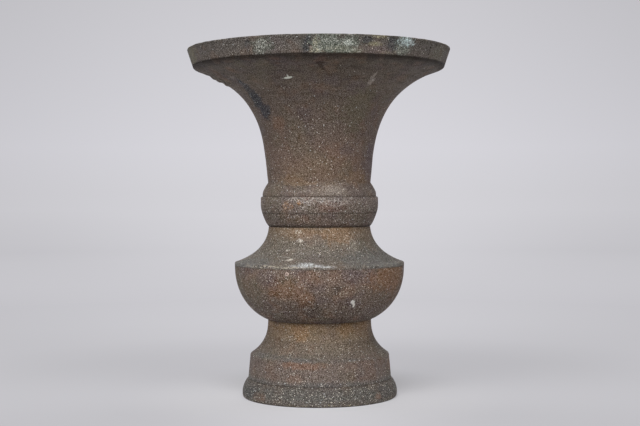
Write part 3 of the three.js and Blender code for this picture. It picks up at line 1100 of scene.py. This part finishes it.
def ring_bronze():
    """Base ring: grey-green and thick with pale specks, darkest where it stands from painted
    contact shade.
    """
    s = Skin("ring_bronze")
    edge = s.ragged()
    layers = ((tone(142, 108, 86), RING_ORANGE), (tone(74, 76, 74), RING_DARK))
    colour = ground(s, RING_TONES, 1, 0.35, edge, layers)
    colour, relief = sandy(s, colour, 0.7, 1.0, 0.5)
    yellow = s.times(s.band(*RING_CRUST), s.crumbs(9, 83, 0.46, 0.6, 0.05, 0.7))
    yellow = s.times(yellow, s.crumbs(0.9, 77, 0.52, 0.64, detail=3, rough=0.8))
    colour = s.mix(yellow, colour, tone(190, 180, 134))
    # Painted shade along the bottom, where the ring stands on the floor.
    colour = s.grime_and_shade_band(colour, 0.1, 0.6, 0.7, 0)
    colour = s.grime_and_shade_band(colour, BASE_TOP - 1.8, BASE_TOP - 0.2, 0, 0.1)
    return s.finish(colour, relief)


LIP_TONES = (
    # The lowest stop is darker: painted shade under the lip.
    (MOUTH_EDGE, (82, 75, 69)),
    (MOUTH_EDGE + 1, (101, 93, 86)),
    (176, (98, 92, 86)),
    (179, (88, 83, 77)),
    (RIM, (80, 77, 72)),
)
LIP_DARK = (
    (-4.5, 175.4, 66.7, 2, 4.4, 0.6, 12),
    (-30, 175.8, 67, 1.7, 2.6, 0.35),
    (20, 177.4, 67.4, 3.4, 1.5, 0.45),
    (31.5, 176.2, 67.1, 2.8, 3.4, 0.5),
    (100, 176, 67, 8, 4, 0.6),
    (-130, 177, 67, 9, 3, 0.6),
)
LIP_OLIVE = (
    (-76, 175.7, 66.8, 10, 4.5, 0.45),
    (23.2, 175.9, 67, 3.2, 1, 0.5),
    (9.7, 172.6, 65.8, 9, 1.9, 0.5),
    (64, 175, 66.8, 7, 4, 0.25),
)
LIP_PINK = ((25.4, 172.9, 65.9, 7, 2, 0.4), (-110, 174, 66.5, 7, 3, 0.4))
LIP_GREEN = (
    (-23.8, 175.2, 66.7, 5.5, 4.4, 0.5),
    (3.5, 175.3, 66.7, 8.5, 4.8, 0.85),
    (11, 174.9, 66.6, 6.5, 4.2, 0.75, -15),
    (37.1, 176, 66.9, 5, 4.6, 0.6),
    (120, 175, 66.8, 10, 4, 0.8),
    (175, 176, 67, 7, 3.4, 0.7),
    (-100, 175, 66.8, 5, 4, 0.6),
    (-158, 174, 66.6, 8, 3.4, 0.8),
)
LIP_CHALK = (
    (-23.6, 176.2, 67, 3.6, 2.2, 0.5),
    (-25, 173.4, 66.2, 2.4, 1.4, 0.45),
    (-0.5, 172.4, 65.9, 3.2, 1.5, 0.6),
    (3.7, 175.6, 66.7, 7, 4, 0.36),
    (11.7, 176, 66.9, 2.2, 1.8, 0.85),
    (14.6, 175.9, 67, 0.9, 3.6, 0.65, -35),
    (14.3, 172.4, 65.8, 3.2, 1.1, 0.5),
    (37, 173.6, 66.2, 4.2, 2, 0.5),
    (118, 176, 67, 6, 2.4, 0.8),
    (-156, 174.6, 66.7, 4, 2, 0.7),
)
LIP_BRIGHT = ((11.7, 176, 66.9, 2, 1.4, 0.8),)
LIP_BEIGE = (
    (-1.2, 175.9, 66.9, 1.4, 2.2, 0.7),
    (24.7, 179.3, 68, 3.4, 0.9, 1),
    (23.2, 175.9, 67, 2.8, 1.1, 0.85),
    (-0.8, 172.2, 65.8, 2.6, 1.2, 0.7),
    (8, 173.6, 66.2, 5, 1, 0.35),
    (29, 172.2, 65.7, 4.6, 0.9, 0.5),
)
LIP_BLUE = ((38.4, 177.8, 67.7, 4.4, 2, 1), (178, 177.4, 67.5, 3, 1.6, 0.7))
LIP_SEAM = ((54.8, 175.8, 66.9, 0.42, 3, 0.85),)


def lip_bronze():
    """Lip band: brown-grey bronze with patches of verdigris, chalky crust and turquoise, and
    painted shade along its bottom.
    """
    s = Skin("lip_bronze")
    edge = s.ragged(1.8)
    layers = (
        (BLUE_BLACK, LIP_DARK),
        (tone(124, 122, 100), LIP_OLIVE),
        (tone(118, 104, 102), LIP_PINK),
    )
    colour = ground(s, LIP_TONES, 1, 0.6, edge, layers)
    green = s.patches(LIP_GREEN, edge)
    colour = s.mix(green, colour, tone(94, 100, 90))
    flakes = s.crumbs(0.7, 77, 0.48, 0.6, rough=0.7)
    colour = s.lay(colour, CHALK, LIP_CHALK, edge, broken=flakes)
    fine_edge = s.ragged(0.9, 1.5, seed=79)
    thick = s.between(flakes, 0, 1, 0.3, 1.0)
    colour = s.lay(colour, tone(226, 232, 222), LIP_BRIGHT, fine_edge, 0.6, thick)
    thin = s.between(flakes, 0, 1, 0.15, 0.8)
    beige_edge = s.ragged(1.3, 1.5, seed=55)
    colour = s.lay(colour, tone(176, 168, 136), LIP_BEIGE, beige_edge, 0.7, thin)
    blue = s.patches(LIP_BLUE, fine_edge, soft=0.6)
    colour = s.mix(s.times(blue, thick), colour, tone(214, 232, 232))
    crusted = s.math("MAXIMUM", green, blue)
    grain = s.between(crusted, 0, 0.8, 0.66, 0.8)
    specks_and_glints = s.between(crusted, 0, 0.8, 0.4, 0.45)
    colour, relief = sandy(s, colour, grain, specks_and_glints, 0.3)
    chips = s.crumbs(1.0, 81, 0.52, 0.68, 0, 0.3)
    chips = s.times(s.between(s.height, RIM - 0.9, RIM - 0.2), chips)
    colour = s.mix(chips, colour, tone(226, 214, 194))
    colour = s.lay(colour, GRIME_AND_SHADE, LIP_SEAM, s.ragged(1.0, 0.6, seed=53), soft=0.25)
    # Painted shade along the band's bottom edge, under the lip.
    colour = s.grime_and_shade_band(colour, MOUTH_EDGE + 0.1, MOUTH_EDGE + 0.9, 0.7, 0)
    relief = s.plus(relief, s.times(crusted, s.times(flakes, 0.4)))
    metal = s.times(s.math("SUBTRACT", 1.0, crusted), METAL)
    return s.finish(colour, relief, s.rough(0.6, 0.78), metal)


def plain_bronze():
    """Inside faces that light hardly reaches: dark brown."""
    s = Skin("plain_bronze")
    return s.finish(*sandy(s, mottled(s, tone(92, 81, 70), 1.0), 0.8, 0.3, 0.5))


def pin_bronze(height):
    """The flush pin heads: a pale pinkish ring round a dark middle."""
    s = Skin("pin_bronze")
    colour, relief = sandy(s, tone(212, 190, 178), 0.3, 0.3, 0.2)
    middles = []
    for angle in PIN_ANGLES:
        place = (angle, height, BOWL_RIM_RADIUS)
        middles.append(s.patch(place, (0.5, 50, 0.5), 0.0))
    colour = s.mix(s.times(s.strongest(middles), 0.75), colour, tone(92, 76, 68))
    return s.finish(colour, relief)


def braze_metal():
    """Brazing metal in the joints: dull gold, blotched with dirt."""
    s = Skin("braze_metal")
    blotches = s.noise(2.5, detail=3, seed=4)
    colour = s.mix(s.between(blotches, 0.4, 0.65), tone(150, 126, 84), GRIME_AND_SHADE)
    return s.finish(colour, blotches, rough=0.5, metal=0.6, strength=0.3)


# Camera, light and floor


def make_camera():
    data = bpy.data.cameras.new("camera")
    data.sensor_width = SENSOR
    data.lens = FOCAL_PIXELS / PICTURE_WIDTH * SENSOR
    data.clip_start = 0.01
    data.clip_end = 50
    camera = in_scene("camera", data)
    camera.location = (CAMERA_ASIDE * MM, -CAMERA_BACK * MM, CAMERA_HEIGHT * MM)
    camera.rotation_euler = (math.radians(90 - CAMERA_PITCH), math.radians(CAMERA_ROLL), 0)
    bpy.context.scene.camera = camera


def make_lamp(name, azimuth, elevation, distance, size, watts):
    a, e = math.radians(azimuth), math.radians(elevation)
    data = bpy.data.lights.new(name, "AREA")
    data.shape = "DISK"
    data.size = size
    data.energy = watts
    lamp = in_scene(name, data)
    away = np.array([math.sin(a) * math.cos(e), -math.cos(a) * math.cos(e), math.sin(e)])
    lamp.location = away * distance + (0, 0, LAMP_AIM)
    lamp.rotation_euler = (math.radians(90) - e, 0, a)


def make_world():
    """Pale surroundings that light the vase evenly, and a backdrop that lights nothing."""
    world = bpy.data.worlds.new("studio")
    bpy.context.scene.world = world
    world.use_nodes = True
    world.node_tree.nodes.clear()
    n = Nodes(world.node_tree)
    way = n.axes(n.add("TexCoord").outputs["Generated"])
    backdrop, ambient = n.add("Background"), n.add("Background")
    n.put(n.ramp(way["Z"], BACKDROP), backdrop.inputs["Color"])
    n.put(n.lobes(way, FADES, FADED), backdrop.inputs["Strength"])
    n.put((1, 1, 1, 1), ambient.inputs["Color"])
    n.put(AMBIENT, ambient.inputs["Strength"])
    seen = n.choose(n.backdrop_rays(), ambient.outputs[0], backdrop.outputs[0])
    n.put(seen, n.add("OutputWorld").inputs["Surface"])


def floor_material():
    """A pale floor that keeps the shadow near the vase, with a painted shadow band in its glow
    round the vase, and runs into the backdrop far from it.
    """
    material = bpy.data.materials.new("floor_paper")
    material.use_nodes = True
    n = Nodes(material.node_tree)
    surface = n.tree.nodes["Principled BSDF"]
    surface.inputs["Base Color"].default_value = FLOOR_TONE
    surface.inputs["Roughness"].default_value = 0.9
    surface.inputs["Specular IOR Level"].default_value = 0.1
    where = n.add("TexCoord").outputs["Object"]
    far = n.length(where)
    around = n.axes(where)
    near_fades = n.times(*(n.lobes(around, count, least) for count, least in NEAR_FADES))
    gives_way = n.between(far, *FADES_GIVE_WAY, kind="LINEAR")
    fades = n.mix(gives_way, near_fades, n.lobes(around, FADES, FADED), kind="FLOAT")
    glow = n.add("Emission")
    n.put(n.ramp(far, FLOOR_GLOW), glow.inputs["Color"])
    n.put(fades, glow.inputs["Strength"])
    (foot, at_foot), (beside, round_foot) = GLOW_AT_FOOT, GLOW_ROUND_FOOT
    share = n.between(far, foot, beside, at_foot, round_foot)
    share = n.mix(n.between(far, *GLOW_GROWS), share, 1.0, kind="FLOAT")
    share = n.times(share, n.backdrop_rays())
    seen = n.choose(share, surface.outputs[0], glow.outputs[0])
    n.put(seen, n.tree.nodes["Material Output"].inputs["Surface"])
    return material


def make_floor():
    turn = np.arange(FLOOR_SIDES) * 2 * math.pi / FLOOR_SIDES
    ring = [(FLOOR_RADIUS * math.cos(t), FLOOR_RADIUS * math.sin(t), 0) for t in turn]
    mesh = bpy.data.meshes.new("floor")
    mesh.from_pydata(ring, [], [list(range(FLOOR_SIDES))])
    mesh.materials.append(floor_material())
    floor = in_scene("floor", mesh)


bpy.context.scene.view_settings.view_transform = "Standard"
make_camera()
make_world()
for name, lamp in LAMPS.items():
    make_lamp(name, *lamp)
make_floor()

PLAIN = plain_bronze()
BRAZE = braze_metal()
CASTINGS = (
    ("mouth_trumpet_bronze", "mouth_trumpet", WORN_EDGE, "body_bronze", trumpet_bronze),
    ("knop_collar_bronze", "knop_collar", WORN_COLLAR, "body_bronze", collar_bronze),
    ("shoulder_casting", "shoulder", WORN_EDGE, "body_bronze", shoulder_bronze),
    ("belly_bowl_bronze", "belly_bowl", WORN_EDGE, "body_bronze", bowl_bronze),
    ("foot_casting", "foot", WORN_EDGE, "foot_bronze", foot_bronze),
    ("base_ring_bronze", "base_ring", WORN_RING, "foot_bronze", ring_bronze),
)

place(lip_band(), "lip_band", "lip_bronze", lip_bronze())
for name, node, worn, slot, bronze in CASTINGS:
    place(turned_piece(name, node, worn), node, slot, bronze())
place(floor_plate(), "floor_plate", "body_bronze", PLAIN)
for joint in ("lip", "neck", "collar", "shoulder", "floor", "base"):
    place(turned_piece(f"{joint}_brazing", f"{joint}_braze"), f"{joint}_braze", "braze", BRAZE)
PIN = pin_bronze(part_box("shoulder_pin_1")[0][2] / MM + PIN_RADIUS)
for number in (1, 2, 3):
    node = f"shoulder_pin_{number}"
    place(pin_head(f"pin_head_{number}", node), node, "pin_bronze", PIN)
